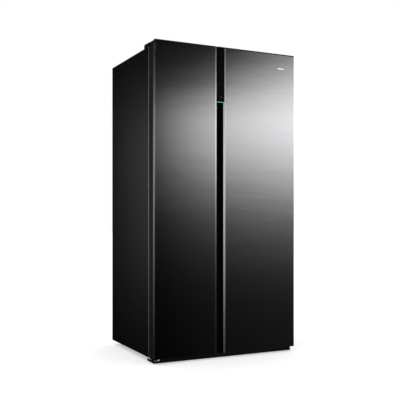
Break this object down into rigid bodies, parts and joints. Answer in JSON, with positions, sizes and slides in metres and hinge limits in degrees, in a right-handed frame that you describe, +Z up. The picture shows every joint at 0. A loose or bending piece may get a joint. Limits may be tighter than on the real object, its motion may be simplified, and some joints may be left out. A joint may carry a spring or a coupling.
{
  "type": "side by side refrigerator",
  "caption": "Tall refrigerator with a narrow freezer door and a wide fridge door side by side, recessed grips between them, shelves, bins and drawers inside.",
  "frame": {"origin": "centre of the footprint, on the floor", "axes": "+Z up, the doors face -Y, +X to the right as one faces the doors"},
  "size_m": [0.908, 0.7, 1.78],
  "materials": {
    "dark_steel": "satin",
    "bright_profile": "satin",
    "cabinet_paint": "satin",
    "galvanised_steel": "satin",
    "black_plastic": "matte",
    "gloss_black": "gloss",
    "light_diffuser": "gloss",
    "chrome_trim": "polished",
    "white_liner": "satin",
    "white_plastic": "satin",
    "clear_plastic": "gloss",
    "shelf_glass": "polished",
    "grey_gasket": "matte",
    "foam": "matte",
    "fin_aluminium": "satin",
    "compressor_paint": "satin",
    "black_rubber": "matte",
    "lamp_diffuser": "satin",
    "board_cover": "matte"
  },
  "bodies": {
    "cabinet": {"side_panel_left": "cabinet_paint", "side_panel_right": "cabinet_paint", "top_panel": "cabinet_paint", "back_panel": "galvanised_steel", "base_plate": "galvanised_steel", "cabinet_foam": "foam", "freezer_liner": "white_liner", "fridge_liner": "white_liner", "front_frame": "cabinet_paint", "toe_kick": "black_plastic", "hinge_covers": "black_plastic", "top_hinges": "galvanised_steel", "bottom_hinges": "cabinet_paint", "hinge_bolts": "galvanised_steel", "freezer_shelves": "shelf_glass", "fridge_shelves": "shelf_glass", "drawer_runners": "white_plastic", "freezer_duct_panel": "white_plastic", "fridge_duct_panel": "white_plastic", "evaporator": "fin_aluminium", "fan_motors": "black_plastic", "compressor": "compressor_paint", "condenser": "fin_aluminium", "drain_pan": "black_plastic", "rear_cover": "galvanised_steel", "control_board": "board_cover", "interior_lamps": "lamp_diffuser", "ice_maker_frame": "white_plastic", "power_inlet": "black_plastic"},
    "freezer_door": {"freezer_door_skin": "dark_steel", "freezer_door_profiles": "bright_profile", "freezer_door_frame": "black_plastic", "freezer_door_foam": "foam", "freezer_door_liner": "white_liner", "freezer_door_gasket": "grey_gasket", "freezer_door_bins": "clear_plastic"},
    "fridge_door": {"fridge_door_skin": "dark_steel", "fridge_door_profiles": "bright_profile", "fridge_door_frame": "black_plastic", "fridge_door_foam": "foam", "fridge_door_liner": "white_liner", "fridge_door_gasket": "grey_gasket", "fridge_door_bins": "clear_plastic", "fridge_door_grip": "black_plastic", "control_panel": "gloss_black", "light_bar": "light_diffuser", "emblem": "chrome_trim"},
    "dairy_flap": {"dairy_flap": "clear_plastic"},
    "freezer_drawer_upper": {"freezer_drawer_upper": "clear_plastic"},
    "freezer_drawer_lower": {"freezer_drawer_lower": "clear_plastic"},
    "crisper_upper": {"crisper_upper": "clear_plastic"},
    "crisper_lower": {"crisper_lower": "clear_plastic"},
    "ice_tray": {"ice_tray": "white_plastic"},
    "ice_box": {"ice_box": "clear_plastic"},
    "foot_left": {"foot_left": "black_rubber"},
    "foot_right": {"foot_right": "black_rubber"},
    "roller_left": {"roller_left": "black_plastic"},
    "roller_right": {"roller_right": "black_plastic"},
    "evaporator_fan": {"evaporator_fan": "white_plastic"},
    "condenser_fan": {"condenser_fan": "black_plastic"}
  },
  "joints": [
    {"name": "freezer_door_hinge", "type": "hinge", "parent": "cabinet", "child": "freezer_door", "pos_m": [-0.434, -0.316, 0.9], "axis": [0, 0, -1], "range_deg": [0, 115]},
    {"name": "fridge_door_hinge", "type": "hinge", "parent": "cabinet", "child": "fridge_door", "pos_m": [0.434, -0.316, 0.9], "axis": [0, 0, 1], "range_deg": [0, 115]},
    {"name": "dairy_flap_hinge", "type": "hinge", "parent": "fridge_door", "child": "dairy_flap", "pos_m": [0.181, -0.181, 1.648], "axis": [1, 0, 0], "range_deg": [0, 80]},
    {"name": "freezer_drawer_upper_slide", "type": "slide", "parent": "cabinet", "child": "freezer_drawer_upper", "axis": [0, -1, 0], "range_m": [0, 0.105]},
    {"name": "freezer_drawer_lower_slide", "type": "slide", "parent": "cabinet", "child": "freezer_drawer_lower", "axis": [0, -1, 0], "range_m": [0, 0.105]},
    {"name": "crisper_upper_slide", "type": "slide", "parent": "cabinet", "child": "crisper_upper", "axis": [0, -1, 0], "range_m": [0, 0.105]},
    {"name": "crisper_lower_slide", "type": "slide", "parent": "cabinet", "child": "crisper_lower", "axis": [0, -1, 0], "range_m": [0, 0.105]},
    {"name": "ice_box_slide", "type": "slide", "parent": "cabinet", "child": "ice_box", "axis": [0, -1, 0], "range_m": [0, 0.06]},
    {"name": "ice_tray_twist", "type": "hinge", "parent": "cabinet", "child": "ice_tray", "pos_m": [-0.248, 0, 1.606], "axis": [0, 1, 0], "range_deg": [0, 150], "stiffness_Nm_per_rad": 0.1},
    {"name": "foot_left_turn", "type": "hinge", "parent": "cabinet", "child": "foot_left", "pos_m": [-0.4, -0.225, 0.01], "axis": [0, 0, 1], "continuous": true},
    {"name": "roller_left_roll", "type": "hinge", "parent": "cabinet", "child": "roller_left", "pos_m": [-0.4, 0.3, 0.014], "axis": [1, 0, 0], "continuous": true},
    {"name": "foot_right_turn", "type": "hinge", "parent": "cabinet", "child": "foot_right", "pos_m": [0.4, -0.225, 0.01], "axis": [0, 0, 1], "continuous": true},
    {"name": "roller_right_roll", "type": "hinge", "parent": "cabinet", "child": "roller_right", "pos_m": [0.4, 0.3, 0.014], "axis": [1, 0, 0], "continuous": true},
    {"name": "evaporator_fan_spin", "type": "hinge", "parent": "cabinet", "child": "evaporator_fan", "pos_m": [-0.248, 0.231, 0.76], "axis": [0, 1, 0], "continuous": true},
    {"name": "condenser_fan_spin", "type": "hinge", "parent": "cabinet", "child": "condenser_fan", "pos_m": [0.042, 0.24, 0.142], "axis": [1, 0, 0], "continuous": true}
  ]
}
